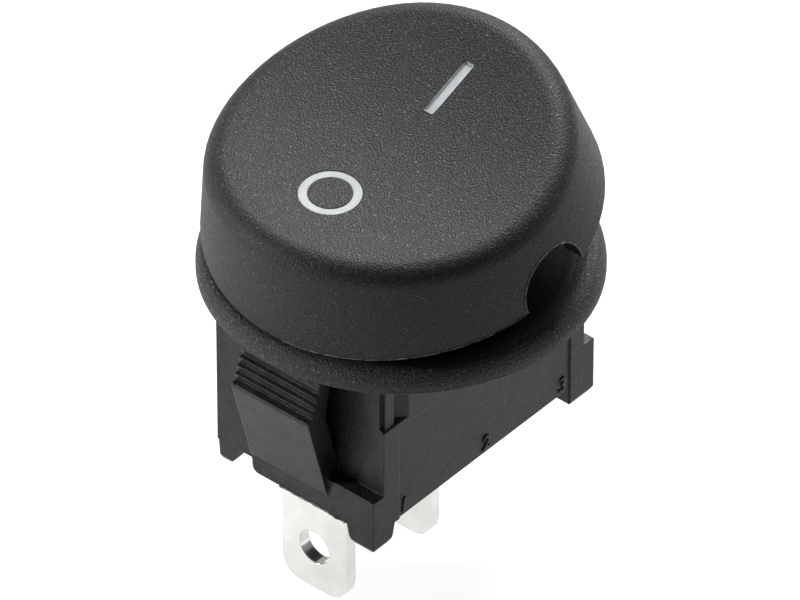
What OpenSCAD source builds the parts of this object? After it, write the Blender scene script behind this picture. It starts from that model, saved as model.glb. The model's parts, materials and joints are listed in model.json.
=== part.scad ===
// Round-flange snap-in rocker switch, two blade terminals, standing on its panel plane.
// Z = 0 is the underside of the flange, +X points to the ON end, +Y is the rocker axle.

/* [Flange] */
// Outer radius of the round flange
flange_r = 11.65; // [11:0.05:13]
// Height of the flange rim above the panel
rim_h = 1.5; // [1.3:0.05:1.6]
// Height of the sunk ring inside the rim
dish_h = 1.0; // [0.8:0.05:1.1]

/* [Housing] */
// Half length of the box below the flange
box_x = 8.8; // [8.6:0.05:9.1]
// Half width of the box
box_y = 6.25; // [6.1:0.05:6.6]
// Depth of the box below the panel
box_depth = 10.65; // [10.3:0.05:11]
// Thickness of the floor of the box
floor_t = 1.3; // [1.1:0.05:1.6]
// Thickness of the end walls
end_wall = 1.15; // [1:0.05:1.3]
// Thickness of the side walls
side_wall = 1.25; // [1.1:0.05:1.4]
// Height of the corner feet
foot_h = 1.2; // [0.8:0.05:1.3]
// How far the base blocks stand out of the ends
block_out = 0.9; // [0.7:0.05:1]
// Depth at which the side walls step out
ledge_depth = 3.6; // [3:0.1:4.2]
// Height of the base blocks
block_h = 2.5; // [2.2:0.05:2.8]

/* [Snap arms] */
// Half width of a snap arm
arm_y = 2.86; // [2.5:0.02:3.2]
// How far the snap arms stay inside the edge of the flange
arm_inset = 0.3; // [0.1:0.05:0.5]
// Depth at which the arm reaches furthest
arm_low = 3.1; // [2.9:0.05:3.4]
// Thickness of the arm blade
arm_t = 1.05; // [0.8:0.05:1.2]
// Height of one panel step on the arm
step_h = 0.5; // [0.45:0.01:0.52]

/* [Rocker] */
// Height of the rocker axle above the panel
axle_z = 4.8; // [4.6:0.05:5.1]
// Rocker tilt either side of level, in degrees
tilt = 13; // [10:0.5:13]
// How far the lower edge of the skirt lies inside the flange
skirt_inset = 0.1; // [0.05:0.05:0.6]
// Drop of the skirt edge below the axle
skirt_drop = 0.43; // [0.3:0.01:0.5]
// Inward lean of the skirt, in degrees
skirt_lean = 11.2; // [8:0.1:13]
// Rounding of the rim of the cap
rim_round = 1.5; // [1.2:0.1:2.4]
// How much tighter the rim is rounded at the two ends
rim_tight = 0.25; // [0:0.05:0.4]
// Height of the dish floor above the skirt edge
dish_top = 5.1; // [4.7:0.05:5.4]
// Rise of the dish at a radius of ten millimetres
dish_rise = 1.3; // [0.6:0.05:1.4]
// Wall thickness of the cap
cap_wall = 1.25; // [1:0.05:1.4]
// Radius of the arched notch in the skirt over the axle
notch_r = 2.43; // [2.2:0.01:2.6]
// Radius of the axle stubs
axle_r = 1.1; // [1:0.02:1.2]

/* [Contacts] */
// Width of the blade terminals
blade_w = 4.8; // [4.6:0.05:5]
// Thickness of the blade terminals
blade_t = 0.8; // [0.7:0.02:0.84]
// Depth of the blade tips below the panel
blade_tip = 19.15; // [18.5:0.05:20]
// Outer face of the end terminal from the middle
blade_x = 7.62; // [7.56:0.01:7.64]
// Offset of the common terminal from the middle
common_x = 0.15; // [0:0.05:0.3]
// Radius of the hole in a blade
hole_r = 1.12; // [1:0.02:1.25]
// Height of the hole above the blade tip
hole_up = 3.0; // [2.7:0.05:3.3]
// Thickness of the contact lever
lever_t = 0.5; // [0.4:0.02:0.55]
// Tilt of the contact lever either side of level, in degrees
lever_tilt = 6.5; // [5:0.5:7]
// Depth of the lever axis below the panel
lever_depth = 4.0; // [3.9:0.05:4.2]

/* [Plunger] */
// Radius of the plunger head
plunger_r = 1.2; // [1.1:0.02:1.25]
// Wire thickness of the plunger spring
wire_t = 0.34; // [0.3:0.02:0.36]
// Turns of the plunger spring
coils = 5; // [4:1:6]

/* [Hidden] */
$fn = 96;
small = 0.01;
run_gap = 0.05;
slide_gap = 0.06;
cavity_x = box_x - end_wall;
cavity_y = box_y - side_wall;
floor_z = -box_depth + floor_t;
arm_reach = flange_r - arm_inset;
skirt_r = flange_r - skirt_inset;
skirt_z = axle_z - skirt_drop;
rise_k = dish_rise / 100;
round_x = skirt_r - rim_round - (dish_top - rim_round) * tan(skirt_lean);
ear_in = cavity_y;
ear_out = box_y;
ear_r = axle_r + 1.15;
stub_out = ear_out - 0.3;
block_x = 2.1;
block_y = ear_in - 0.15;
post_r = plunger_r + 0.95;
lever_seat = blade_t / 2 + 0.02;
tip_len = axle_z + lever_depth - lever_seat - lever_t - 0.02;
head_len = 2.6;
stem_r = 0.65;
post_len = tip_len - 1.1;
head_top = tip_len - head_len;
spring_len = 3.1;
spring_mid = stem_r + 0.12 + wire_t / 2;
lever_half = 6.6;
lever_w = 4;
lever_short = 0.6;
waist_l = 1.3;
waist_w = 3.1;
rivet_r = 0.7;
rivet_head_r = 1;
rivet_head_h = 0.2;
tab_len = 3.4;
rib_h = 2.2;
cradle_w = 3.2;
shelf_l = 2.6;
shelf_w = 6;
horn_w = 0.7;
horn_up = 0.5;
past = 5;
contact_r = 1.3;
contact_h = 0.45;
contact_at = 5.75;
contact_low = lever_depth - (lever_seat - contact_h) * cos(lever_tilt)
            + (contact_at + contact_r) * sin(lever_tilt) + 0.01;
tab_top = -contact_low - contact_h;
black = [0.09, 0.09, 0.09];
dark = [0.07, 0.07, 0.08];
nickel = [0.82, 0.81, 0.78];
brass = [0.72, 0.56, 0.28];
silver = [0.9, 0.9, 0.88];
steel = [0.55, 0.56, 0.58];
nylon = [0.86, 0.85, 0.8];

// ---- shared helpers ----

module on_axle(angle) {
    translate([0, 0, axle_z])
        rotate([0, angle, 0])
            children();
}

module on_lever(angle) {
    translate([common_x, 0, -lever_depth])
        rotate([0, angle, 0])
            children();
}

// ---- housing: one moulding with flange, box, axle ears, snap arms and feet ----

module flange() {
    rotate_extrude($fn = 144)
        polygon([[0, 0], [flange_r - 0.12, 0], [flange_r, 0.12], [flange_r, 0.55],
                 [flange_r - 0.05, 0.8], [flange_r - 0.16, rim_h - 0.45],
                 [flange_r - 0.32, rim_h - 0.22], [flange_r - 0.52, rim_h - 0.07],
                 [flange_r - 0.75, rim_h], [flange_r - 1.1, rim_h - 0.05],
                 [flange_r - 1.7, dish_h + 0.12], [flange_r - 2.4, dish_h], [0, dish_h]]);
}

// Outline of a foot: drafted on its outer side, rounded off on the inner side.
module foot_side(out, len, low, inset, curve) {
    polygon([[-out, -box_depth + small], [-out + inset, low + 0.25],
             [-out + inset + 0.12, low], [-out + len - curve, low],
             [-out + len - curve * 0.58, low + curve * 0.2],
             [-out + len - curve * 0.3, low + curve * 0.66],
             [-out + len, -box_depth + small]]);
}

// A corner foot: the same outline seen from the side and from the end.
module foot(reach, len_x, len_y, drop, inset, curve_x, curve_y) {
    low = -box_depth - drop;
    intersection() {
        translate([0, -box_y + inset + len_y, 0])
            rotate([90, 0, 0])
                linear_extrude(len_y)
                    foot_side(reach - inset, len_x, low, inset, curve_x);
        translate([-reach, 0, 0])
            rotate([90, 0, 90])
                linear_extrude(len_x + inset)
                    foot_side(box_y - inset, len_y, low, inset, curve_y);
    }
}

// Two broad feet along the front, the one at the on end longer, and two small ones behind.
module feet() {
    foot(box_x + block_out, 1.85, 2, foot_h, 0, 0.6, 0.6);
    mirror([1, 0, 0])
        foot(box_x + block_out, 2.2, 2, foot_h + 0.08, 0, 0.25, 0.6);
    for (m = [0, 1])
        mirror([m, 0, 0])
            mirror([0, 1, 0])
                foot(box_x, 1.35, 1.3, foot_h + 0.25, 0.05, 0.75, 0.6);
}

module end_block() {
    translate([-box_x - block_out, -box_y, -box_depth])
        cube([block_out + 1, box_y - arm_y, block_h]);
    translate([-box_x - block_out + 0.04, 0, -box_depth])
        rotate([90, 0, 90])
            linear_extrude(block_out + 1)
                polygon([[-arm_y, 0], [arm_y - 0.35, 0], [arm_y - 0.1, 0.15],
                         [arm_y, 0.45], [arm_y, 1.7], [-arm_y, 1.7]]);
}

module snap_arm() {
    root = -box_x - block_out;
    s = step_h;
    top = -arm_low + 3 * s;
    translate([0, arm_y, 0])
        rotate([90, 0, 0])
            linear_extrude(2 * arm_y)
                polygon([[root, -box_depth + 0.9], [root, -box_depth + 1.25],
                         [root - 0.15, -box_depth + 1.65],
                         [-arm_reach, -arm_low - 0.25], [-arm_reach, -arm_low],
                         [-arm_reach + 0.42, -arm_low + 0.1], [-arm_reach + 0.26, -arm_low + s],
                         [-arm_reach + 0.56, -arm_low + s + 0.1],
                         [-arm_reach + 0.44, -arm_low + 2 * s],
                         [-arm_reach + 0.74, -arm_low + 2 * s + 0.1],
                         [-arm_reach + 0.62, top], [-arm_reach + 0.92, top + 0.1],
                         [-arm_reach + 0.85, top + 0.5], [-arm_reach + 1.1, top + 0.75],
                         [-arm_reach + 1.1 + arm_t * 0.8, top + 0.75],
                         [-arm_reach + 0.4 + arm_t, -arm_low - 0.4],
                         [root + arm_t, -box_depth + 2.5], [root + arm_t, -box_depth + 0.9]]);
}

// Plan of the slanted groove near one end of a side wall.
module groove_plan() {
    polygon([[-box_x + 1, -box_y - 1], [-box_x + 1, -box_y + 0.12],
             [-box_x + 1.04, -box_y + 0.4], [-box_x + 1.25, -box_y + 0.4],
             [-box_x + 2.15, -box_y], [-box_x + 2.15, -box_y - 1]]);
}

// Plan of the corner beside the groove, set back from the end and the side.
module corner_plan() {
    polygon([[-box_x - 1, -box_y - 1], [-box_x - 1, -box_y + 0.35],
             [-box_x + 0.26, -box_y + 0.35], [-box_x + 0.26, -box_y + 0.12],
             [-box_x + 1 + small, -box_y + 0.12], [-box_x + 1 + small, -box_y - 1]]);
}

// The grooves end below in a chamfered ledge, over the sunk field of the side wall.
module side_relief(corner) {
    field_x = box_x - 1.37;
    intersection() {
        for (m = [0, 1])
            mirror([m, 0, 0])
                translate([0, 0, -ledge_depth])
                    linear_extrude(ledge_depth) {
                        groove_plan();
                        if (corner)
                            corner_plan();
                    }
        translate([-box_x - past, 0, 0])
            rotate([90, 0, 90])
                linear_extrude(2 * box_x + 2 * past)
                    polygon([[-box_y - 1, -ledge_depth], [-box_y, -ledge_depth],
                             [-box_y + 0.4, -ledge_depth + 0.3], [-box_y + 0.4, 0],
                             [-box_y - 1, 0]]);
    }
    translate([-field_x, -box_y - 1, -box_depth - 1])
        cube([2 * field_x + 0.2, 1.1, box_depth + 1 - ledge_depth - 0.5]);
}

// Relief under the flange that clears the tip of one snap arm.
module arm_relief() {
    translate([-arm_reach + 0.5, -arm_y - 0.12, -0.4])
        cube([arm_reach - 0.5 - box_x, 2 * arm_y + 0.24, 0.52]);
}

module ear() {
    difference() {
        union() {
            translate([-ear_r, ear_in, 0])
                cube([2 * ear_r, ear_out - ear_in, axle_z]);
            translate([0, ear_out, axle_z])
                rotate([90, 0, 0])
                    cylinder(r = ear_r, h = ear_out - ear_in);
        }
        translate([0, ear_out + 1, axle_z])
            rotate([90, 0, 0])
                cylinder(r = axle_r + run_gap, h = ear_out - ear_in + 2);
    }
}

module housing() {
    color(black)
        difference() {
            union() {
                flange();
                translate([-box_x, -box_y, -box_depth])
                    cube([2 * box_x, 2 * box_y, box_depth + dish_h / 2]);
                ear();
                mirror([0, 1, 0])
                    ear();
                end_block();
                snap_arm();
                mirror([1, 0, 0]) {
                    end_block();
                    snap_arm();
                }
                feet();
            }
            difference() {
                translate([-cavity_x, -cavity_y, floor_z])
                    cube([2 * cavity_x, 2 * cavity_y, box_depth + 4]);
                lever_stop();
                end_shelf();
                common_rib();
            }
            side_relief(true);
            mirror([0, 1, 0])
                side_relief(false);
            arm_relief();
            mirror([1, 0, 0])
                arm_relief();
            end_slot();
            common_slot();
        }
}

module lever_stop() {
    low = -lever_depth + lever_seat * cos(lever_tilt) - 5.9 * sin(lever_tilt) - 0.03;
    translate([common_x + 4.6, -2, floor_z - 1])
        cube([1.2, 4, low - floor_z + 1]);
}

module end_shelf() {
    translate([-blade_x + blade_t, -shelf_w / 2, floor_z - 1])
        cube([shelf_l, shelf_w, tab_top - blade_t - floor_z + 1]);
}

module common_rib() {
    translate([common_x - blade_t / 2 - 0.8, -cavity_y, floor_z - 1])
        cube([blade_t + 1.6, 2 * cavity_y, rib_h]);
}

module end_slot() {
    translate([-blade_x, -blade_w / 2, -box_depth - 1])
        cube([blade_t, blade_w, box_depth - contact_low]);
}

module common_slot() {
    translate([common_x - blade_t / 2, -blade_w / 2, -box_depth - 1])
        cube([blade_t, blade_w, 1 + floor_t + rib_h + blade_w / 4]);
}

// ---- rocker: cap, skirt, centre block, axle stubs and plunger post in one moulding ----

function dish_z(x) = dish_top + rise_k * x * x;

function skirt_pt(h) = [skirt_r - h * tan(skirt_lean), h];

// Profile of the cap at one angle: skirt edge, skirt top, rounding, then the dish.
function cap_profile(a) =
    let (slope = atan(2 * rise_k * round_x * cos(a) * cos(a)),
         turn = 90 + slope,
         round_r = rim_round - rim_tight * cos(a) * cos(a),
         end_r = round_x + round_r * cos(turn),
         mid_z = dish_z(end_r * cos(a)) - round_r * sin(turn),
         lean_r = skirt_r - (mid_z + round_r * sin(skirt_lean)) * tan(skirt_lean),
         mid_r = lean_r - round_r * cos(skirt_lean))
    concat([[skirt_r, 0]],
           [for (i = [0:8])
               let (b = skirt_lean + (turn - skirt_lean) * i / 8)
               [mid_r + round_r * cos(b), mid_z + round_r * sin(b)]],
           [for (f = [0.86, 0.68, 0.46, 0.22])
               let (r = (mid_r + round_r * cos(turn)) * f)
               [r, dish_z(r * cos(a))]]);

module cap_blank() {
    steps = 72;
    prof = [for (j = [0:steps - 1]) cap_profile(j * 360 / steps)];
    n = len(prof[0]);
    pts = concat([for (j = [0:steps - 1]) for (i = [0:n - 1])
                     let (a = j * 360 / steps)
                     [prof[j][i][0] * cos(a), prof[j][i][0] * sin(a), prof[j][i][1]]],
                 [[0, 0, 0], [0, 0, dish_z(0)]]);
    base = steps * n;
    faces = concat(
        [for (j = [0:steps - 1]) for (i = [0:n - 2])
            let (k = (j + 1) % steps)
            [j * n + i, j * n + i + 1, k * n + i + 1]],
        [for (j = [0:steps - 1]) for (i = [0:n - 2])
            let (k = (j + 1) % steps)
            [j * n + i, k * n + i + 1, k * n + i]],
        [for (j = [0:steps - 1]) let (k = (j + 1) % steps) [base, j * n, k * n]],
        [for (j = [0:steps - 1]) let (k = (j + 1) % steps)
            [base + 1, k * n + n - 1, j * n + n - 1]]);
    polyhedron(points = pts, faces = faces, convexity = 6);
}

module cap_hollow() {
    roof = dish_top - cap_wall;
    rotate_extrude()
        polygon([[0, -1], [skirt_r - cap_wall, -1], [skirt_r - cap_wall, 0],
                 [skirt_r - cap_wall - (roof - 0.8) * tan(skirt_lean), roof - 0.8],
                 [skirt_r - cap_wall - roof * tan(skirt_lean) - 0.8, roof], [0, roof]]);
}

module rocker_post() {
    translate([-block_x, -block_y, 0])
        cube([2 * block_x, 2 * block_y, dish_top + skirt_z - axle_z - cap_wall + 0.2]);
    translate([0, block_y, 0])
        rotate([90, 0, 0])
            cylinder(r = block_x, h = 2 * block_y);
    translate([0, stub_out, 0])
        rotate([90, 0, 0])
            cylinder(r = axle_r, h = 2 * stub_out);
    translate([0, 0, -post_len])
        cylinder(r = post_r, h = post_len);
}

module rocker() {
    bore_top = -head_top + spring_len;
    color(black)
        on_axle(-tilt)
            difference() {
                union() {
                    translate([0, 0, skirt_z - axle_z])
                        difference() {
                            cap_blank();
                            cap_hollow();
                            translate([0, skirt_r + 1, 0.13])
                                rotate([90, 0, 0])
                                    cylinder(r = notch_r, h = 2 * skirt_r + 2);
                        }
                    rocker_post();
                }
                translate([0, 0, -post_len - 1])
                    cylinder(r = plunger_r + slide_gap, h = post_len + 1 + bore_top);
            }
}

// ---- plunger and its spring, riding in the rocker post ----

module plunger() {
    color(nylon)
        on_axle(-tilt)
            translate([0, 0, -tip_len]) {
                translate([0, 0, plunger_r])
                    sphere(r = plunger_r);
                translate([0, 0, plunger_r])
                    cylinder(r = plunger_r, h = head_len - plunger_r);
                translate([0, 0, head_len - small])
                    cylinder(r = stem_r, h = 1.6);
            }
}

module plunger_spring() {
    sides = 8;
    per = 20;
    r = wire_t / 2;
    count = per * coils;
    rise = spring_len - 2 * r;
    ring = [for (j = [0:count]) for (i = [0:sides - 1])
               let (a = j * 360 / per, b = i * 360 / sides, m = spring_mid + r * cos(b))
               [m * cos(a), m * sin(a), r + rise * j / count + r * sin(b)]];
    faces = concat(
        [for (j = [0:count - 1]) for (i = [0:sides - 1])
            [j * sides + i, j * sides + (i + 1) % sides,
             (j + 1) * sides + (i + 1) % sides]],
        [for (j = [0:count - 1]) for (i = [0:sides - 1])
            [j * sides + i, (j + 1) * sides + (i + 1) % sides, (j + 1) * sides + i]],
        [[for (i = [sides - 1:-1:0]) i]],
        [[for (i = [0:sides - 1]) count * sides + i]]);
    color(steel)
        on_axle(-tilt)
            translate([0, 0, -head_top])
                polyhedron(points = ring, faces = faces, convexity = 8);
}

// ---- contact lever: see-saw strip on the common terminal, with its contact ----

module lever_plan() {
    difference() {
        translate([-lever_half, -lever_w / 2])
            square([2 * lever_half - lever_short, lever_w]);
        for (s = [-1, 1])
            translate([-waist_l / 2, s > 0 ? waist_w / 2 : -waist_w / 2 - past])
                square([waist_l, past]);
    }
}

module contact_lever() {
    color(brass)
        on_lever(lever_tilt)
            translate([0, 0, lever_seat])
                difference() {
                    linear_extrude(lever_t)
                        lever_plan();
                    translate([-contact_at, 0, -past])
                        cylinder(r = rivet_r, h = 2 * past);
                }
}

module moving_contact() {
    color(silver)
        on_lever(lever_tilt)
            translate([-contact_at, 0, lever_seat]) {
                translate([0, 0, -contact_h])
                    cylinder(r = contact_r, h = contact_h);
                cylinder(r = rivet_r, h = lever_t);
                translate([0, 0, lever_t])
                    cylinder(r = rivet_head_r, h = rivet_head_h);
            }
}

// ---- terminals: stamped blades ----

module blade_outline() {
    w = blade_w / 2;
    translate([0, -blade_tip])
        polygon([[-w + 1.15, 0], [w - 1.15, 0], [w - 0.5, 0.25], [w - 0.15, 0.75],
                 [w, 1.4], [w, blade_tip + tab_top], [-w, blade_tip + tab_top], [-w, 1.4],
                 [-w + 0.15, 0.75], [-w + 0.5, 0.25]]);
}

module blade() {
    rotate([90, 0, 90])
        linear_extrude(blade_t)
            difference() {
                blade_outline();
                translate([0, -blade_tip + hole_up])
                    circle(r = hole_r);
            }
}

module common_terminal() {
    neck = floor_z + rib_h + 0.3;
    horn_top = -lever_depth + lever_seat + lever_t + horn_up;
    color(nickel)
        translate([common_x - blade_t / 2, 0, 0]) {
            difference() {
                blade();
                translate([-past, -past, neck])
                    cube([2 * past, 2 * past, blade_tip]);
            }
            translate([0, -cradle_w / 2, neck - blade_t])
                cube([blade_t, cradle_w, blade_t - lever_depth - neck]);
            translate([blade_t / 2, cradle_w / 2, -lever_depth])
                rotate([90, 0, 0])
                    cylinder(r = blade_t / 2, h = cradle_w);
            for (s = [-1, 1])
                translate([0, s > 0 ? cradle_w / 2 : -cradle_w / 2 - horn_w, neck - blade_t])
                    cube([blade_t, horn_w, horn_top - neck + blade_t]);
        }
}

module end_terminal() {
    color(nickel)
        difference() {
            union() {
                translate([-blade_x, 0, 0])
                    blade();
                translate([-blade_x, -blade_w / 2, tab_top - blade_t])
                    cube([tab_len, blade_w, blade_t]);
            }
            translate([-contact_at + common_x, 0, tab_top - past])
                cylinder(r = rivet_r, h = 2 * past);
        }
}

module fixed_contact() {
    color(silver)
        translate([-contact_at + common_x, 0, tab_top]) {
            cylinder(r = contact_r, h = contact_h);
            translate([0, 0, -blade_t])
                cylinder(r = rivet_r, h = blade_t + small);
        }
}

housing();
rocker();
plunger();
plunger_spring();
contact_lever();
moving_contact();
common_terminal();
end_terminal();
fixed_contact();
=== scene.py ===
import json
import math

import bmesh
import bpy
from mathutils import Matrix, Vector


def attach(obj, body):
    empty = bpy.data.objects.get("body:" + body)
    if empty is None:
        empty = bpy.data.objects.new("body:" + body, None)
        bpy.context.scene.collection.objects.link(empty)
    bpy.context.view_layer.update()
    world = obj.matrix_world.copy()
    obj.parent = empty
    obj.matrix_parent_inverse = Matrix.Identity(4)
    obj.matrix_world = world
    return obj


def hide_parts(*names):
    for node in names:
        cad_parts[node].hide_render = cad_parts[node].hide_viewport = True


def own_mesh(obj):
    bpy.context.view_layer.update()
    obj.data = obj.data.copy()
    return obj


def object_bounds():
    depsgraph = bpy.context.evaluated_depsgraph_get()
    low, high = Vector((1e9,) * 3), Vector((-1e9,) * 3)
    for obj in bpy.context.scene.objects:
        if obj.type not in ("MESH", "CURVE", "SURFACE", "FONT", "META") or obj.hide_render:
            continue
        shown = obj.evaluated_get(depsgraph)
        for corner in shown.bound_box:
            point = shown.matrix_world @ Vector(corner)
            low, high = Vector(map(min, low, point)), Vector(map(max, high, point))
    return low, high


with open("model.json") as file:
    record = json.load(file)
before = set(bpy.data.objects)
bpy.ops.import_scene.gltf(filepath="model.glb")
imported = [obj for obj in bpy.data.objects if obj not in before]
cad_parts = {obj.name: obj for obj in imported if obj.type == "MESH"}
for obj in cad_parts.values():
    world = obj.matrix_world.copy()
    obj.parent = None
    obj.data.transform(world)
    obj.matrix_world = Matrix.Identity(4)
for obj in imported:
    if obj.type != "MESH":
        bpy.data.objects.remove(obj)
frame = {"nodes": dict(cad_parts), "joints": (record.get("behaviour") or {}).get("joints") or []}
cad_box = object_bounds()
nodes = frame["nodes"]

# ---- Housing ----
# One black moulding: round flange, box, snap arms and feet. The tool is spark eroded where the
# flange shows above the panel and polished smoother below it, so the two areas shine differently.


def new_group(name, inputs, outputs):
    """A shader group with float or vector sockets, and its inner in and out nodes."""
    group = bpy.data.node_groups.new(name, "ShaderNodeTree")
    kinds = {"f": "NodeSocketFloat", "v": "NodeSocketVector"}
    for label, kind, value in inputs:
        socket = group.interface.new_socket(label, in_out="INPUT", socket_type=kinds[kind])
        socket.default_value = value
    for label, kind in outputs:
        group.interface.new_socket(label, in_out="OUTPUT", socket_type=kinds[kind])
    return group, group.nodes.new("NodeGroupInput"), group.nodes.new("NodeGroupOutput")


def put(tree, kind, settings=None, **sockets):
    """Adds a node, sets its properties, and links or sets its inputs by name or number."""
    node = tree.nodes.new(kind)
    for key, value in (settings or {}).items():
        setattr(node, key, value)
    for key, value in sockets.items():
        name = int(key[1:]) if key[0] == "_" else key.replace("_", " ")
        if isinstance(value, bpy.types.NodeSocket):
            tree.links.new(value, node.inputs[name])
        else:
            node.inputs[name].default_value = value
    return node


def ramp(tree, value, low, high):
    """0 below low, 1 above high, smooth between."""
    return put(tree, "ShaderNodeMapRange", {"interpolation_type": "SMOOTHSTEP"},
               Value=value, From_Min=low, From_Max=high).outputs["Result"]


def between(tree, mask, low, high):
    """Low where the mask is 0 and high where it is 1."""
    return put(tree, "ShaderNodeMapRange", Value=mask, To_Min=low, To_Max=high).outputs["Result"]


def blend(tree, factor, first, second):
    """Mixes two colours by a mask."""
    return put(tree, "ShaderNodeMix", {"data_type": "RGBA"},
               _0=factor, _6=first, _7=second).outputs[2]


def maths(tree, operation, first, second=0.0):
    return put(tree, "ShaderNodeMath", {"operation": operation}, _0=first, _1=second).outputs[0]


def times(tree, first, second):
    return maths(tree, "MULTIPLY", first, second)


def less(tree, first, second):
    return maths(tree, "SUBTRACT", first, second)


def grey(level, warm=0.0):
    return (level * (1 + warm), level, level * (1 - warm), 1)


def jet(level):
    """The very slightly olive black of both mouldings, at this brightness."""
    return (level * 0.97, level, level * 0.94, 1)


# The eroded grain: a fine pebbled height, and a mask of its tips.
grain, grain_in, grain_out = new_group(
    "eroded_grain",
    [("Grains per metre", "f", 9000.0), ("Cloud per metre", "f", 260.0)],
    [("Height", "f"), ("Shade", "f"), ("Tips", "f"), ("Cloud", "f")])
grain_at = put(grain, "ShaderNodeTexCoord").outputs["Object"]
fine = put(grain, "ShaderNodeTexNoise", {"noise_dimensions": "3D"}, Vector=grain_at,
           Scale=grain_in.outputs["Grains per metre"], Detail=2.0, Roughness=0.6)
pits = put(grain, "ShaderNodeTexVoronoi", {"feature": "F1"}, Vector=grain_at,
           Scale=times(grain, grain_in.outputs["Grains per metre"], 1.3))
height = maths(grain, "ADD", fine.outputs["Fac"], times(grain, pits.outputs["Distance"], -0.6))
cloud = put(grain, "ShaderNodeTexNoise", {"noise_dimensions": "3D"}, Vector=grain_at,
            Scale=grain_in.outputs["Cloud per metre"], Detail=3.0, Roughness=0.5)
grain.links.new(height, grain_out.inputs["Height"])
grain.links.new(ramp(grain, fine.outputs["Fac"], 0.35, 0.65), grain_out.inputs["Shade"])
grain.links.new(ramp(grain, fine.outputs["Fac"], 0.6, 0.74), grain_out.inputs["Tips"])
grain.links.new(ramp(grain, cloud.outputs["Fac"], 0.3, 0.7), grain_out.inputs["Cloud"])

# The softened edge: the normal rounded over sharp corners, and a mask of where it is rounded.
soft, soft_in, soft_out = new_group(
    "softened_edge", [("Radius", "f", 0.0001)], [("Normal", "v"), ("Edge", "f")])
rounded = put(soft, "ShaderNodeBevel", {"samples": 6}, Radius=soft_in.outputs["Radius"])
plain = put(soft, "ShaderNodeNewGeometry")
turned = put(soft, "ShaderNodeVectorMath", {"operation": "DOT_PRODUCT"},
             _0=rounded.outputs["Normal"], _1=plain.outputs["Normal"])
soft.links.new(rounded.outputs["Normal"], soft_out.inputs["Normal"])
soft.links.new(ramp(soft, less(soft, 1.0, turned.outputs["Value"]), 0.02, 0.25),
               soft_out.inputs["Edge"])


def new_finish(name, **principled):
    """A material with a Principled BSDF whose plain sockets are set by name."""
    material = bpy.data.materials.new(name)
    material.use_nodes = True
    shader = material.node_tree.nodes["Principled BSDF"]
    for key, value in principled.items():
        shader.inputs[key.replace("_", " ")].default_value = value
    return material, material.node_tree, shader


def place(tree, group, **values):
    """Puts a shared group into a material with this material's own values."""
    return put(tree, "ShaderNodeGroup", {"node_tree": group}, **values)


def dent(tree, shader, height, strength, depth, normal=None):
    """Bumps the shader's normal by a height, over the normal that is given."""
    bump = put(tree, "ShaderNodeBump", Strength=strength, Distance=depth, Height=height)
    if normal is not None:
        tree.links.new(normal, bump.inputs["Normal"])
    tree.links.new(bump.outputs["Normal"], shader.inputs["Normal"])
    return bump.outputs["Normal"]


def coat(node_name, material):
    """Gives a carried-over node this finish in every slot."""
    materials = nodes[node_name].data.materials
    if not materials:
        materials.append(material)
    for i in range(len(materials)):
        materials[i] = material


ERODED_GRAINS = 7600.0
FLANGE_BASE = jet(0.018)
FLANGE_MID = jet(0.046)
# Painted glint: the grain's tips on the flange are painted pale.
FLANGE_GLINT = jet(0.26)
FLANGE_ROUGH, FLANGE_SPARKLE = 0.6, 0.3
FLANGE_SHINE = 0.45
# Painted shade: the flange's floor under the cap, between the two radii below.
PAINTED_SHADE_FLOOR = jet(0.006)
PAINTED_SHADE_INSIDE, PAINTED_SHADE_OUTSIDE = 0.0094, 0.0108
SUNK_DULL = 0.17
BOX_BASE = jet(0.019)
BOX_SHEEN = jet(0.038)
BOX_SPECK, SPECK_SHOWS = jet(0.09), 0.7
BOX_ROUGH = 0.42
BOX_SHINE = 0.25
# Painted highlight: the sharp edges of the moulding are painted paler.
EDGE_HIGHLIGHT, EDGE_HIGHLIGHT_SHOWS = jet(0.17), 0.85
SEAT_HALF = 0.00003
PARTING, PARTING_SHOWS = grey(0.22), 0.8
PARTING_STARTS, PARTING_ENDS = (0.00001, 0.00005), (0.00006, 0.0001)

housing_finish, tree, shader = new_finish("housing_black", IOR=1.49)
eroded = place(tree, grain, Grains_per_metre=ERODED_GRAINS)
smooth = place(tree, grain, Grains_per_metre=6000.0, Cloud_per_metre=900.0)
edge = place(tree, soft, Radius=0.00012)
where = put(tree, "ShaderNodeTexCoord").outputs["Object"]
height_up = put(tree, "ShaderNodeSeparateXYZ", _0=where).outputs["Z"]
above = ramp(tree, height_up, -SEAT_HALF, SEAT_HALF)
# The flange's floor under the cap is painted darker, a painted shade where the cap shades it, and
# made duller.
flat = put(tree, "ShaderNodeVectorMath", {"operation": "MULTIPLY"}, _0=where, _1=(1, 1, 0))
outward = put(tree, "ShaderNodeVectorMath", {"operation": "LENGTH"},
              _0=flat.outputs["Vector"]).outputs["Value"]
painted_shade_under_cap = times(tree, above, less(tree, 1.0, ramp(tree, outward, PAINTED_SHADE_INSIDE, PAINTED_SHADE_OUTSIDE)))
top_colour = blend(tree, eroded.outputs["Shade"], FLANGE_BASE, FLANGE_MID)
# Painted glint: pale specks on the grain's tips.
top_colour = blend(tree, eroded.outputs["Tips"], top_colour, FLANGE_GLINT)
# Painted shade: the floor under the cap is painted darker.
top_colour = blend(tree, painted_shade_under_cap, top_colour, PAINTED_SHADE_FLOOR)
low_colour = blend(tree, smooth.outputs["Cloud"], BOX_BASE, BOX_SHEEN)
low_colour = blend(tree, times(tree, smooth.outputs["Tips"], SPECK_SHOWS), low_colour, BOX_SPECK)
# Painted highlight: the softened edges are painted paler, in uneven patches.
edge_highlight = times(tree, edge.outputs["Edge"], ramp(tree, smooth.outputs["Shade"], -0.3, 1.0))
low_colour = blend(tree, times(tree, edge_highlight, EDGE_HIGHLIGHT_SHOWS), low_colour, EDGE_HIGHLIGHT)
both_colours = blend(tree, above, low_colour, top_colour)
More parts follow.
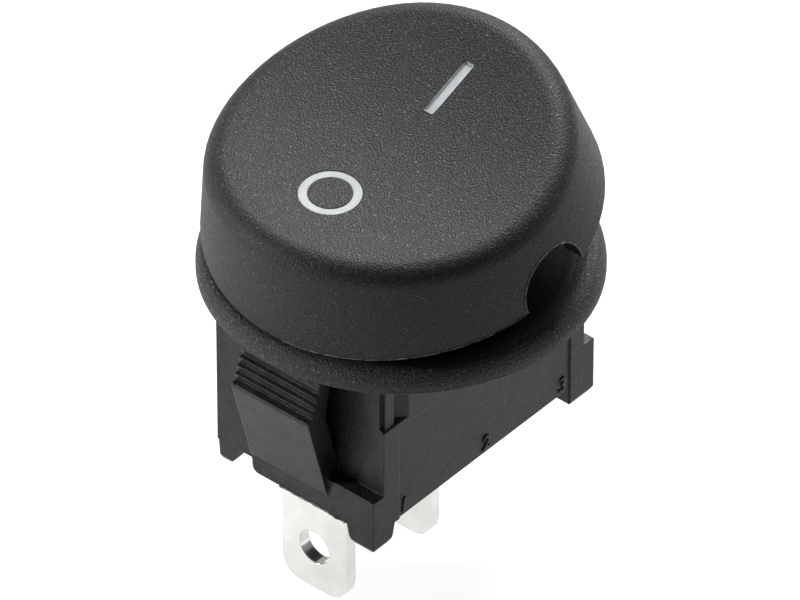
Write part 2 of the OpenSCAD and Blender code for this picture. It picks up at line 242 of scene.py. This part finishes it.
# A hair of parting flash runs round the flange just above its seat.
parting = times(tree, ramp(tree, height_up, *PARTING_STARTS),
                less(tree, 1.0, ramp(tree, height_up, *PARTING_ENDS)))
parting = times(tree, parting, eroded.outputs["Shade"])
tree.links.new(blend(tree, times(tree, parting, PARTING_SHOWS), both_colours, PARTING),
               shader.inputs["Base Color"])
sparkle = times(tree, times(tree, eroded.outputs["Tips"], above), FLANGE_SPARKLE)
tree.links.new(less(tree, between(tree, above, BOX_ROUGH, FLANGE_ROUGH), sparkle),
               shader.inputs["Roughness"])
shine = between(tree, less(tree, above, painted_shade_under_cap), BOX_SHINE, FLANGE_SHINE)
tree.links.new(less(tree, shine, times(tree, painted_shade_under_cap, SUNK_DULL)),
               shader.inputs["Specular IOR Level"])
box_normal = dent(tree, shader, smooth.outputs["Height"], strength=0.9, depth=0.00003,
                  normal=edge.outputs["Normal"])
dent(tree, shader, times(tree, eroded.outputs["Height"], above), strength=1.0, depth=0.00006,
     normal=box_normal)
coat("housing", housing_finish)

# ---- Rocker ----
# The round cap, its skirt, centre post and axle stubs in one black moulding, eroded all over
# so that it matches the flange. Its shinier grain tips are painted pale as glints and its sharp
# edges painted paler as a highlight. The off ring and the on bar are engraved in its dish.

CAP_BASE = jet(0.011)
CAP_MID = jet(0.028)
# Painted glint on the grain's tips, and painted highlight on the sharp edges.
CAP_GLINT = jet(0.12)
CAP_EDGE_HIGHLIGHT, CAP_EDGE_HIGHLIGHT_SHOWS = grey(0.2), 0.3
CAP_ROUGH, CAP_SPARKLE = 0.54, 0.24

cap_finish, tree, shader = new_finish("cap_black", IOR=1.49, Specular_IOR_Level=0.34)
eroded = place(tree, grain, Grains_per_metre=ERODED_GRAINS)
tree.links.new(less(tree, CAP_ROUGH, times(tree, eroded.outputs["Tips"], CAP_SPARKLE)),
               shader.inputs["Roughness"])
edge = place(tree, soft, Radius=0.00010)
colour = blend(tree, eroded.outputs["Shade"], CAP_BASE, CAP_MID)
# Painted glint on the grain's tips, then a painted highlight on the sharp edges.
colour = blend(tree, eroded.outputs["Tips"], colour, CAP_GLINT)
colour = blend(tree, times(tree, edge.outputs["Edge"], CAP_EDGE_HIGHLIGHT_SHOWS), colour, CAP_EDGE_HIGHLIGHT)
tree.links.new(colour, shader.inputs["Base Color"])
dent(tree, shader, eroded.outputs["Height"], strength=1.0, depth=0.000038,
     normal=edge.outputs["Normal"])

joints = {joint["name"]: joint for joint in frame["joints"]}
AXLE_Z = joints["rocker_tilt"]["pos_m"][2]
CAP_TILT = math.radians(13)
SKIRT_DROP = 0.00043
# The dish is a shallow trough: it rises by DISH_RISE times the square of the way from the middle.
DISH_TOP = 0.0051
DISH_RISE = 13.0
DISH_LOW = 0.004
DISH_R = 0.0088
DISH_ROUNDING = 0.0001
DISH_FACING = 0.99
RING_X, RING_Y = -0.00478, 0.00027
RING_OUT, RING_IN = 0.00187, 0.00133
RING_SHORT = 0.93
BAR_X, BAR_Y = 0.00489, -0.00044
BAR_LONG, BAR_WIDE = 0.00388, 0.00068
BAR_CORNER, LEAST_CORNER = 0.00009, 0.00001
CUT_DEEP = 0.00028
CUT_CLEAR = 0.001
JOIN_GAP = 0.000002
CAP_SHARP = math.radians(32)

cap_place = (Matrix.Translation((0, 0, AXLE_Z)) @ Matrix.Rotation(-CAP_TILT, 4, "Y")
             @ Matrix.Translation((0, 0, -SKIRT_DROP)))


def on_dish(x, y, lift):
    """A point of the cap's dish in the shared frame, raised by lift."""
    return cap_place @ Vector((x, y, DISH_TOP + DISH_RISE * x * x + lift))


def dish_up(x):
    """The direction straight out of the dish, in the cap's own frame."""
    return Vector((-2 * DISH_RISE * x, 0, 1))


def ring_loop(radius, lift, steps=96):
    return [on_dish(RING_X + RING_SHORT * radius * math.cos(2 * math.pi * i / steps),
                    RING_Y + radius * math.sin(2 * math.pi * i / steps), lift)
            for i in range(steps)]


def bar_loop(inset, lift, steps=5):
    corner = max(BAR_CORNER - inset, LEAST_CORNER)
    half_l, half_w = BAR_LONG / 2 - inset - corner, BAR_WIDE / 2 - inset - corner
    points = []
    for cx, cy, start in ((1, 1, 0), (-1, 1, 90), (-1, -1, 180), (1, -1, 270)):
        for i in range(steps + 1):
            a = math.radians(start + 90 * i / steps)
            points.append(on_dish(BAR_X + cx * half_l + corner * math.cos(a),
                                  BAR_Y + cy * half_w + corner * math.sin(a), lift))
    return points


def stand(name, data):
    """A new object at the origin of the scene."""
    piece = bpy.data.objects.new(name, data)
    bpy.context.scene.collection.objects.link(piece)
    return piece


def skin(name, loops, closed):
    """A solid through loops of points: closed joins last to first, else both ends are faced."""
    mesh = bpy.data.meshes.new(name)
    bm = bmesh.new()
    rows = [[bm.verts.new(p) for p in loop] for loop in loops]
    for low, high in zip(rows, rows[1:] + (rows[:1] if closed else [])):
        for i in range(len(low)):
            k = (i + 1) % len(low)
            bm.faces.new((low[i], low[k], high[k], high[i]))
    if not closed:
        bm.faces.new(rows[0])
        bm.faces.new(rows[-1])
    bmesh.ops.recalc_face_normals(bm, faces=bm.faces)
    bm.to_mesh(mesh)
    bm.free()
    return stand(name, mesh)


def join_up(mesh, gap, outwards=False):
    """Joins the corners of loose triangles, and turns all faces outwards if asked."""
    bm = bmesh.new()
    bm.from_mesh(mesh)
    bmesh.ops.remove_doubles(bm, verts=bm.verts, dist=gap)
    if outwards:
        bmesh.ops.recalc_face_normals(bm, faces=bm.faces)
    bm.to_mesh(mesh)
    bm.free()


def plain_mesh(piece):
    """The shape of an object with its modifiers and curves worked out, as a plain mesh."""
    bpy.context.view_layer.update()
    graph = bpy.context.evaluated_depsgraph_get()
    return bpy.data.meshes.new_from_object(piece.evaluated_get(graph), depsgraph=graph)


def only_finish(mesh, material):
    mesh.materials.clear()
    mesh.materials.append(material)


cap_mesh = nodes["rocker"].data.copy()
join_up(cap_mesh, JOIN_GAP)
cap = stand("rocker_cap", cap_mesh)
cutters = [skin("cut_ring", [ring_loop(RING_OUT, -CUT_DEEP), ring_loop(RING_OUT, CUT_CLEAR),
                             ring_loop(RING_IN, CUT_CLEAR), ring_loop(RING_IN, -CUT_DEEP)], True),
           skin("cut_bar", [bar_loop(0, -CUT_DEEP), bar_loop(0, CUT_CLEAR)], False)]
for cutter in cutters:
    cut = cap.modifiers.new("engrave", "BOOLEAN")
    cut.operation = "DIFFERENCE"
    cut.solver = "EXACT"
    cut.object = cutter
engraved = plain_mesh(cap)
cap.modifiers.clear()
cap.data = engraved
for cutter in cutters:
    bpy.data.objects.remove(cutter)
only_finish(engraved, cap_finish)
engraved.shade_smooth()
engraved.set_sharp_from_angle(angle=CAP_SHARP)
# The dish shades as the true curve, also round the engravings.
cap_turn = cap_place.to_3x3()
cap_back = cap_place.inverted()
corner_normals = [Vector(c.vector) for c in engraved.corner_normals]
for face in engraved.polygons:
    middle = cap_back @ face.center
    true_up = cap_turn @ dish_up(middle.x).normalized()
    if (middle.z > DISH_LOW and middle.xy.length < DISH_R
            and face.normal.dot(true_up) > DISH_FACING):
        for corner in face.loop_indices:
            spot = cap_back @ engraved.vertices[engraved.loops[corner].vertex_index].co
            if spot.xy.length < DISH_R - DISH_ROUNDING:
                corner_normals[corner] = (cap_turn @ dish_up(spot.x)).normalized()
engraved.normals_split_custom_set(corner_normals)
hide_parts("rocker")
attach(cap, "rocker_body")

# ---- Position marks ----
# White paint wiped into the two engravings: it fills the ring nearly flush, and lines the
# floor and walls of the bar, whose far walls show in shade.

PAINT_THIN, PAINT_FULL = (0.45, 0.475, 0.51, 1), (0.55, 0.57, 0.60, 1)
FILM = 0.00002
FLUSH = -0.00003
BAR_SLOPE = 0.00009
BAR_FLOOR = -0.00013
DEEP = -CUT_DEEP + 0.00001
FIT = 0.000002

paint, tree, shader = new_finish("mark_white", Roughness=0.5)
mottle = place(tree, grain, Grains_per_metre=5000.0, Cloud_per_metre=1500.0)
tree.links.new(blend(tree, mottle.outputs["Cloud"], PAINT_THIN, PAINT_FULL),
               shader.inputs["Base Color"])
dent(tree, shader, mottle.outputs["Height"], strength=0.4, depth=0.00001)
marks = [skin("off_ring", [ring_loop(RING_OUT - FIT, DEEP), ring_loop(RING_OUT - FIT, FLUSH),
                           ring_loop(RING_IN + FIT, FLUSH), ring_loop(RING_IN + FIT, DEEP)], True),
         skin("on_bar", [bar_loop(FIT, DEEP), bar_loop(FIT, FLUSH), bar_loop(FILM, FLUSH),
                         bar_loop(FILM + BAR_SLOPE, BAR_FLOOR)], False)]
for mark in marks:
    mark.data.materials.append(paint)
    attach(mark, "rocker_body")

# ---- Mould flash ----
# The hair of flash that the mould leaves round the arched notches of the skirt, along its lower
# edge and under the end block. It is painted paler than the plastic, in patches.

SKIRT_R = 0.01155
SKIRT_LEAN = math.radians(11.2)
NOTCH_R = 0.00243
NOTCH_UP = 0.00013
# Turns are in degrees: up and over the arch, and round the skirt.
ARCH_FROM, ARCH_SWEEP, ARCH_STEPS = -2, 184, 60
HEM_FROM, HEM_TO = 184, 258
HEM_UP = 0.00001
SILL_X, SILL_FOOT_X, SILL_Z = -0.0097, -0.00966, -0.01065
SILL_FROM, SILL_FOOT, SILL_STEP = 0.0008, -0.00286, 0.0001
SILL_STEPS = 50

bead_tree = bpy.data.node_groups.new("flash_bead", "GeometryNodeTree")
for label, kind, value in (("Path", "NodeSocketGeometry", None),
                           ("Bead", "NodeSocketFloat", 0.00002),
                           ("Unevenness", "NodeSocketFloat", 0.5),
                           ("Finish", "NodeSocketMaterial", None)):
    socket = bead_tree.interface.new_socket(label, in_out="INPUT", socket_type=kind)
    if value is not None:
        socket.default_value = value
bead_tree.interface.new_socket("Bead mesh", in_out="OUTPUT", socket_type="NodeSocketGeometry")
bead_in = bead_tree.nodes.new("NodeGroupInput")
bead_out = bead_tree.nodes.new("NodeGroupOutput")
wobble = put(bead_tree, "ShaderNodeTexNoise", {"noise_dimensions": "3D"}, Scale=2600.0, Detail=2.0,
             Vector=put(bead_tree, "GeometryNodeInputPosition").outputs[0])
thick = maths(bead_tree, "ADD", 1.0, times(bead_tree, less(bead_tree, wobble.outputs[0], 0.5),
                                           bead_in.outputs["Unevenness"]))
profile = put(bead_tree, "GeometryNodeCurvePrimitiveCircle", {"mode": "RADIUS"}, Resolution=8,
              Radius=bead_in.outputs["Bead"])
tube = put(bead_tree, "GeometryNodeCurveToMesh", Curve=bead_in.outputs["Path"],
           Profile_Curve=profile.outputs["Curve"], Scale=thick, Fill_Caps=True)
whole = put(bead_tree, "GeometryNodeRealizeInstances", Geometry=tube.outputs["Mesh"])
dressed = put(bead_tree, "GeometryNodeSetMaterial", Geometry=whole.outputs["Geometry"],
              Material=bead_in.outputs["Finish"])
bead_tree.links.new(dressed.outputs["Geometry"], bead_out.inputs["Bead mesh"])

flash_finish, tree, shader = new_finish("flash_pale", Roughness=0.6, IOR=1.49)
patchy = place(tree, grain, Grains_per_metre=5000.0, Cloud_per_metre=2500.0)
tree.links.new(blend(tree, patchy.outputs["Cloud"], grey(0.05, 0.03), grey(0.42, 0.06)),
               shader.inputs["Base Color"])


def along(name, points, bead, unevenness):
    """A bead of flash along points, made by the tree above and turned into a plain mesh."""
    curve = bpy.data.curves.new(name + "_path", "CURVE")
    curve.dimensions = "3D"
    line = curve.splines.new("POLY")
    line.points.add(len(points) - 1)
    for spot, point in zip(line.points, points):
        spot.co = (*point, 1)
    path = stand(name + "_path", curve)
    modifier = path.modifiers.new("flash", "NODES")
    modifier.node_group = bead_tree
    ids = {item.name: item.identifier for item in bead_tree.interface.items_tree
           if item.in_out == "INPUT"}
    modifier[ids["Bead"]] = bead
    modifier[ids["Unevenness"]] = unevenness
    modifier[ids["Finish"]] = flash_finish
    mesh = plain_mesh(path)
    mesh.name = name
    bpy.data.objects.remove(path)
    return stand(name, mesh)


for name, side in (("notch_flash_front", -1), ("notch_flash_back", 1)):
    arch = []
    for i in range(ARCH_STEPS + 1):
        a = math.radians(ARCH_FROM + ARCH_SWEEP * i / ARCH_STEPS)
        x, z = NOTCH_R * math.cos(a), NOTCH_UP + NOTCH_R * math.sin(a)
        skirt = SKIRT_R - z * math.tan(SKIRT_LEAN)
        arch.append(cap_place @ Vector((x, side * math.sqrt(skirt * skirt - x * x), z)))
    bead = along(name, arch, bead=0.000036, unevenness=1.6)
    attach(bead, "rocker_body")
hem = [cap_place @ Vector((SKIRT_R * math.cos(math.radians(a)), SKIRT_R * math.sin(math.radians(a)),
                           HEM_UP)) for a in range(HEM_FROM, HEM_TO)]
bead = along("skirt_flash", hem, bead=0.00003, unevenness=3.0)
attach(bead, "rocker_body")
sill = [Vector((SILL_FOOT_X if y > SILL_FOOT else SILL_X, y, SILL_Z))
        for y in (SILL_FROM - SILL_STEP * i for i in range(SILL_STEPS))]
bead = along("block_flash", sill, bead=0.00006, unevenness=3.4)
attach(bead, "base")

# ---- Terminal numbers ----
# The terminal positions 1, 2 and 3, raised on the front of the box near its lower edge in the
# same black plastic.

FIELD_Y = -0.00615
NUMBER_Z = -0.00998
NUMBER_HIGH = 0.00098
TYPE_PER_HIGH = 1.4
NUMBER_LEAN = 0.12
NUMBER_RAISED = 0.00007
NUMBER_ROUND = 0.000015
NUMBER_GAP = 0.000001
for digit, along_x in (("1", -0.00703), ("2", 0.0002), ("3", 0.00694)):
    words = bpy.data.curves.new("number_" + digit, "FONT")
    words.body = digit
    words.align_x = "CENTER"
    words.align_y = "CENTER"
    words.size = NUMBER_HIGH * TYPE_PER_HIGH
    words.shear = NUMBER_LEAN
    words.offset = NUMBER_ROUND
    words.extrude = NUMBER_RAISED
    words.bevel_depth = NUMBER_ROUND
    flat = stand("number_flat", words)
    mesh = plain_mesh(flat)
    bpy.data.objects.remove(flat)
    join_up(mesh, NUMBER_GAP, outwards=True)
    mesh.transform(Matrix.Translation((along_x, FIELD_Y, NUMBER_Z))
                   @ Matrix.Rotation(math.radians(90), 4, "X"))
    only_finish(mesh, housing_finish)
    number = stand("number_" + digit, mesh)
    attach(number, "base")

# ---- Terminals and contacts ----
# Blades stamped from tinned strip, burnished on the faces and torn rough along the cut edges,
# whose colour is painted brighter as a highlight. Inside, a brass lever and two silver rivets
# make the contact.

TIN_DULL, TIN_BRIGHT = (0.82, 0.815, 0.785, 1), (0.89, 0.885, 0.86, 1)
# Painted highlight: the cut edges are painted brighter.
TIN_EDGE_HIGHLIGHT, TIN_EDGE_HIGHLIGHT_SHOWS = (0.94, 0.94, 0.92, 1), 0.4
TIN_SMOOTH, TIN_ROUGH = 0.12, 0.24
DRAWN_LINES = (9000, 9000, 400)

tinned, tree, shader = new_finish("terminal_tinned", Metallic=1.0, Roughness=0.3)
stretched = put(tree, "ShaderNodeMapping", {"vector_type": "POINT"}, Scale=DRAWN_LINES,
                Vector=put(tree, "ShaderNodeTexCoord").outputs["Object"])
drawn = put(tree, "ShaderNodeTexNoise", {"noise_dimensions": "3D"}, Scale=1.0, Detail=3.0,
            Vector=stretched.outputs["Vector"])
mottle = place(tree, grain, Grains_per_metre=5200.0, Cloud_per_metre=700.0)
edge = place(tree, soft, Radius=0.00012)
face = blend(tree, mottle.outputs["Cloud"], TIN_DULL, TIN_BRIGHT)
# Painted highlight on the softened edges.
face = blend(tree, times(tree, edge.outputs["Edge"], TIN_EDGE_HIGHLIGHT_SHOWS), face, TIN_EDGE_HIGHLIGHT)
tree.links.new(face, shader.inputs["Base Color"])
tree.links.new(between(tree, drawn.outputs["Fac"], TIN_SMOOTH, TIN_ROUGH),
               shader.inputs["Roughness"])
dent(tree, shader, drawn.outputs["Fac"], strength=0.35, depth=0.00001,
     normal=edge.outputs["Normal"])
for name in ("common_terminal", "end_terminal"):
    coat(name, tinned)


def rolled_metal(name, low, high, roughness, lines):
    """A bright inner metal: cloudy colour, drawn lines and softened edges."""
    material, tree, shader = new_finish(name, Metallic=1.0, Roughness=roughness)
    cloudy = place(tree, grain, Grains_per_metre=lines, Cloud_per_metre=900.0)
    edge = place(tree, soft, Radius=0.00006)
    tree.links.new(blend(tree, cloudy.outputs["Cloud"], low, high), shader.inputs["Base Color"])
    dent(tree, shader, cloudy.outputs["Height"], strength=0.3, depth=0.00001,
         normal=edge.outputs["Normal"])
    return material


coat("contact_lever", rolled_metal("lever_brass", (0.55, 0.36, 0.13, 1), (0.70, 0.50, 0.22, 1),
                                   roughness=0.35, lines=6000.0))
silver = rolled_metal("contact_silver", (0.72, 0.71, 0.68, 1), (0.86, 0.85, 0.83, 1),
                      roughness=0.4, lines=4000.0)
for name in ("moving_contact", "fixed_contact"):
    coat(name, silver)

# ---- Plunger spring ----
# A coil of drawn spring wire. It sits on the plunger's head and moves with it; the real spring
# shortens as the plunger slides up into the post, but this coil keeps its shape.

# The coil is this part shorter than its seats are apart, so that its ends don't rub.
SPRING_PLAY = 0.008
SPRING_SHARP = math.radians(50)
coat("plunger_spring", rolled_metal("spring_wire", (0.30, 0.31, 0.33, 1), (0.45, 0.46, 0.48, 1),
                                    roughness=0.3, lines=7000.0))
slide = joints["plunger_slide"]
spring_up = -Vector(slide["axis"]).normalized()
spring_mesh = nodes["plunger_spring"].data.copy()
join_up(spring_mesh, JOIN_GAP)
heights = [v.co.dot(spring_up) for v in spring_mesh.vertices]
spring_low, spring_high = min(heights), max(heights)
for v, height in zip(spring_mesh.vertices, heights):
    v.co -= spring_up * (height - spring_low) * SPRING_PLAY
spring_mesh.shade_smooth()
spring_mesh.set_sharp_from_angle(angle=SPRING_SHARP)
coil = stand("spring_coil", spring_mesh)
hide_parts("plunger_spring")
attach(coil, "plunger_body")
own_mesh(coil)

# ---- Plunger ----
# A small pin moulded in natural nylon, waxy and slightly yellow. It slides in the cap's hollow
# post, and the spring presses it down towards the lever.

nylon, tree, shader = new_finish("plunger_nylon", Roughness=0.42, IOR=1.53)
waxy = place(tree, grain, Grains_per_metre=3000.0, Cloud_per_metre=900.0)
tree.links.new(blend(tree, waxy.outputs["Cloud"], (0.66, 0.62, 0.52, 1), (0.74, 0.71, 0.62, 1)),
               shader.inputs["Base Color"])
edge = place(tree, soft, Radius=0.0001)
dent(tree, shader, waxy.outputs["Height"], strength=0.3, depth=0.00001,
     normal=edge.outputs["Normal"])
coat("plunger", nylon)

# ---- Studio ----
# A white floor that keeps a faint shadow, a surround that is bright behind the switch and dark
# behind the viewer, and two lamps: a soft one high behind and a small one low at the left.

VIEW_AZ, VIEW_EL = math.radians(-49.47), math.radians(39.33)
FLOOR_Z = cad_box[0][2] - 0.0002
FLOOR_HALF = 3
FLOOR_GLOW, FLOOR_MIRRORED, FLOOR_CARD = 0.93, 0.8, 0.35
WALL_FAR, WALL_NEAR, FILL = 0.36, 0.03, 0.04
WALL_FROM, WALL_TO = -0.3, 0.8
LAMP_WHITE = (0.985, 1.0, 0.97)


def towards(azimuth, elevation):
    """A unit vector from the switch, with azimuth 0 towards the front of the box."""
    return Vector((math.sin(azimuth) * math.cos(elevation),
                   -math.cos(azimuth) * math.cos(elevation), math.sin(elevation)))


def seen_rays(tree):
    """The rays that see a thing straight or through glass, and those that see it mirrored."""
    rays = put(tree, "ShaderNodeLightPath").outputs
    return (maths(tree, "MAXIMUM", rays["Is Camera Ray"], rays["Is Transmission Ray"]),
            rays["Is Glossy Ray"])


mesh = bpy.data.meshes.new("floor")
mesh.from_pydata([(x * FLOOR_HALF, y * FLOOR_HALF, FLOOR_Z)
                  for x, y in ((-1, -1), (1, -1), (1, 1), (-1, 1))], [], [(0, 1, 2, 3)])
floor = stand("floor", mesh)
floor_finish = bpy.data.materials.new("floor_white")
floor_finish.use_nodes = True
tree = floor_finish.node_tree
tree.nodes.clear()
seen, mirrored = seen_rays(tree)
card = put(tree, "ShaderNodeBsdfDiffuse", Color=grey(FLOOR_CARD))
glow = put(tree, "ShaderNodeEmission", Color=grey(1.0),
           Strength=maths(tree, "ADD", times(tree, seen, FLOOR_GLOW),
                          times(tree, mirrored, FLOOR_MIRRORED)))
both = put(tree, "ShaderNodeAddShader", _0=card.outputs[0], _1=glow.outputs[0])
# From below the floor is clear, so that the underside of the switch can be looked at.
under = put(tree, "ShaderNodeNewGeometry").outputs["Backfacing"]
clear = put(tree, "ShaderNodeBsdfTransparent")
card_side = put(tree, "ShaderNodeMixShader", _0=under, _1=both.outputs[0], _2=clear.outputs[0])
put(tree, "ShaderNodeOutputMaterial", Surface=card_side.outputs[0])
mesh.materials.append(floor_finish)

# The wall behind the viewer is dark and the one opposite is bright, in reflections only.
world = bpy.data.worlds.new("surround")
bpy.context.scene.world = world
world.use_nodes = True
tree = world.node_tree
tree.nodes.clear()
seen, mirrored = seen_rays(tree)
back = towards(VIEW_AZ, VIEW_EL)
facing = put(tree, "ShaderNodeVectorMath", {"operation": "DOT_PRODUCT"},
             _0=put(tree, "ShaderNodeTexCoord").outputs["Generated"], _1=back).outputs["Value"]
wall = put(tree, "ShaderNodeMapRange", {"interpolation_type": "SMOOTHSTEP"}, Value=facing,
           From_Min=WALL_FROM, From_Max=WALL_TO, To_Min=WALL_FAR,
           To_Max=WALL_NEAR).outputs["Result"]
dim = put(tree, "ShaderNodeBackground", Color=grey(1.0),
          Strength=maths(tree, "ADD", times(tree, mirrored, wall), FILL))
white = put(tree, "ShaderNodeBackground", Color=grey(1.0), Strength=1.0)
pick = put(tree, "ShaderNodeMixShader", _0=seen, _1=dim.outputs[0], _2=white.outputs[0])
put(tree, "ShaderNodeOutputWorld", Surface=pick.outputs[0])


def lamp(name, azimuth, elevation, distance, size, watts):
    """A square soft lamp aimed at the middle of the switch; azimuth 0 is the viewer's side."""
    where = towards(VIEW_AZ + math.radians(azimuth), math.radians(elevation))
    data = bpy.data.lights.new(name, "AREA")
    data.shape = "SQUARE"
    data.size = size
    data.energy = watts
    data.color = LAMP_WHITE
    light = stand(name, data)
    light.location = where * distance
    light.rotation_euler = where.to_track_quat("Z", "Y").to_euler()


lamp("lamp_back", azimuth=163, elevation=49, distance=0.5, size=0.25, watts=3.7)
lamp("lamp_left", azimuth=-88, elevation=13, distance=0.5, size=0.08, watts=1.55)

CAMERA_FAR = 0.63
CAMERA_LENS = 500.8
AIM_RIGHT, AIM_UP = -0.000062, -0.002032
camera_data = bpy.data.cameras.new("camera")
camera_data.sensor_width = 36
camera_data.lens = CAMERA_LENS
camera_data.clip_start = 0.01
camera_data.clip_end = 20
camera = stand("camera", camera_data)
right = Vector((math.cos(VIEW_AZ), math.sin(VIEW_AZ), 0))
up = back.cross(right)
aim = right * AIM_RIGHT + up * AIM_UP
turn = Matrix((right, up, back)).transposed()
camera.matrix_world = Matrix.Translation(aim + back * CAMERA_FAR) @ turn.to_4x4()
bpy.context.scene.camera = camera
bpy.context.scene.view_settings.view_transform = "Standard"
